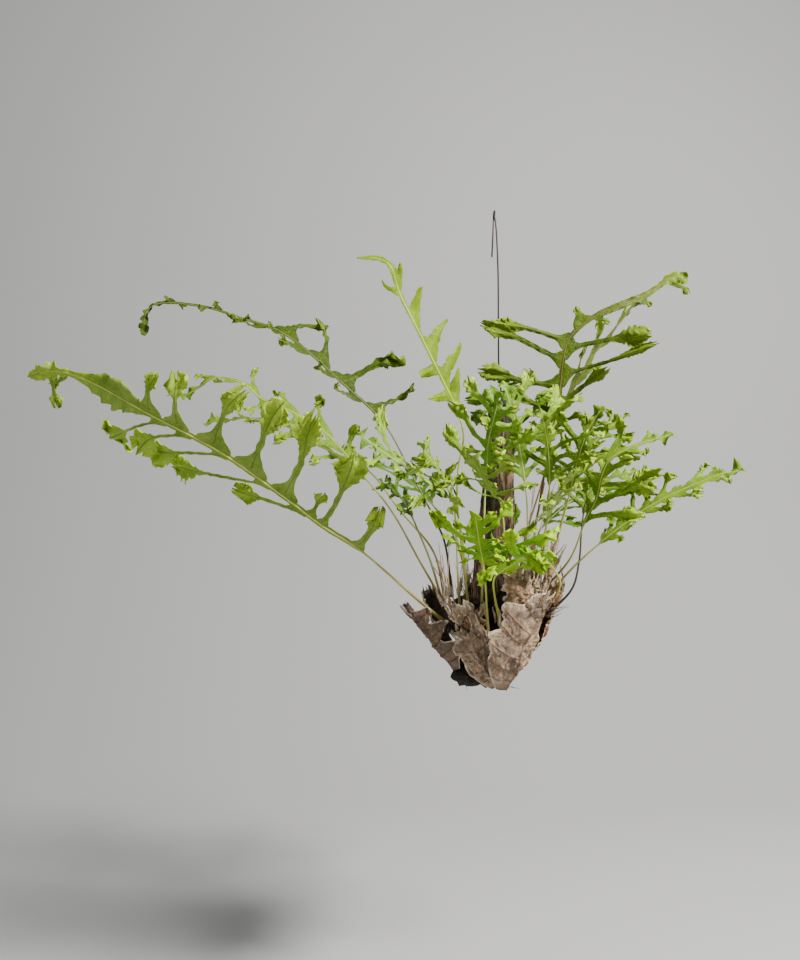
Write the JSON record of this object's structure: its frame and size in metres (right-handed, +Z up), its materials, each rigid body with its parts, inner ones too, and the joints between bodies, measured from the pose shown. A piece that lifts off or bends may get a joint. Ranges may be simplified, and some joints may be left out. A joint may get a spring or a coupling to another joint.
{
  "type": "mounted oak leaf fern",
  "caption": "Oak leaf fern with lacy crested fronds and a cup of dry nest fronds, grown on an upright piece of branch that hangs from a bent wire hook.",
  "frame": {"origin": "where the inside of the hook's crown rests on the rail", "axes": "+Z up, +X along the widest spread of the fronds, -Y towards the front"},
  "size_m": [0.8451, 0.3676, 0.58],
  "materials": {
    "bark": "rough weathered bark",
    "wire": "dark, slightly rusted",
    "rhizome": "matt, furry brown scales",
    "nest_frond": "dry, papery, wrinkled",
    "dead_stalk": "dry",
    "frond": "soft green leaf, satin on the upper side"
  },
  "bodies": {
    "root": {"dead_stalk_inner": "dead_stalk", "dead_stalk_left": "dead_stalk", "dead_stalk_right": "dead_stalk", "dead_stalk_tall": "dead_stalk", "frond_back_centre": "frond", "frond_back_left": "frond", "frond_back_low": "frond", "frond_back_right": "frond", "frond_centre_high": "frond", "frond_centre_left": "frond", "frond_centre_pale": "frond", "frond_centre_star": "frond", "frond_front_left": "frond", "frond_front_right": "frond", "frond_left_arching": "frond", "frond_left_grey": "frond", "frond_left_long": "frond", "frond_left_lower": "frond", "frond_left_middle": "frond", "frond_left_short": "frond", "frond_right_arching": "frond", "frond_right_behind": "frond", "frond_right_centre": "frond", "frond_right_dark_stalk": "frond", "frond_right_high": "frond", "frond_right_inner": "frond", "frond_right_low": "frond", "frond_right_middle": "frond", "frond_right_outer": "frond", "frond_right_upper": "frond", "frond_young_bright": "frond", "hanger_wire": "wire", "nest_frond_back": "nest_frond", "nest_frond_back_left": "nest_frond", "nest_frond_back_right": "nest_frond", "nest_frond_far_left": "nest_frond", "nest_frond_front_left": "nest_frond", "nest_frond_front_right": "nest_frond", "nest_frond_inner_left": "nest_frond", "nest_frond_right": "nest_frond", "nest_frond_upper_right": "nest_frond", "rhizome": "rhizome", "wood_mount": "bark"}
  },
  "joints": []
}
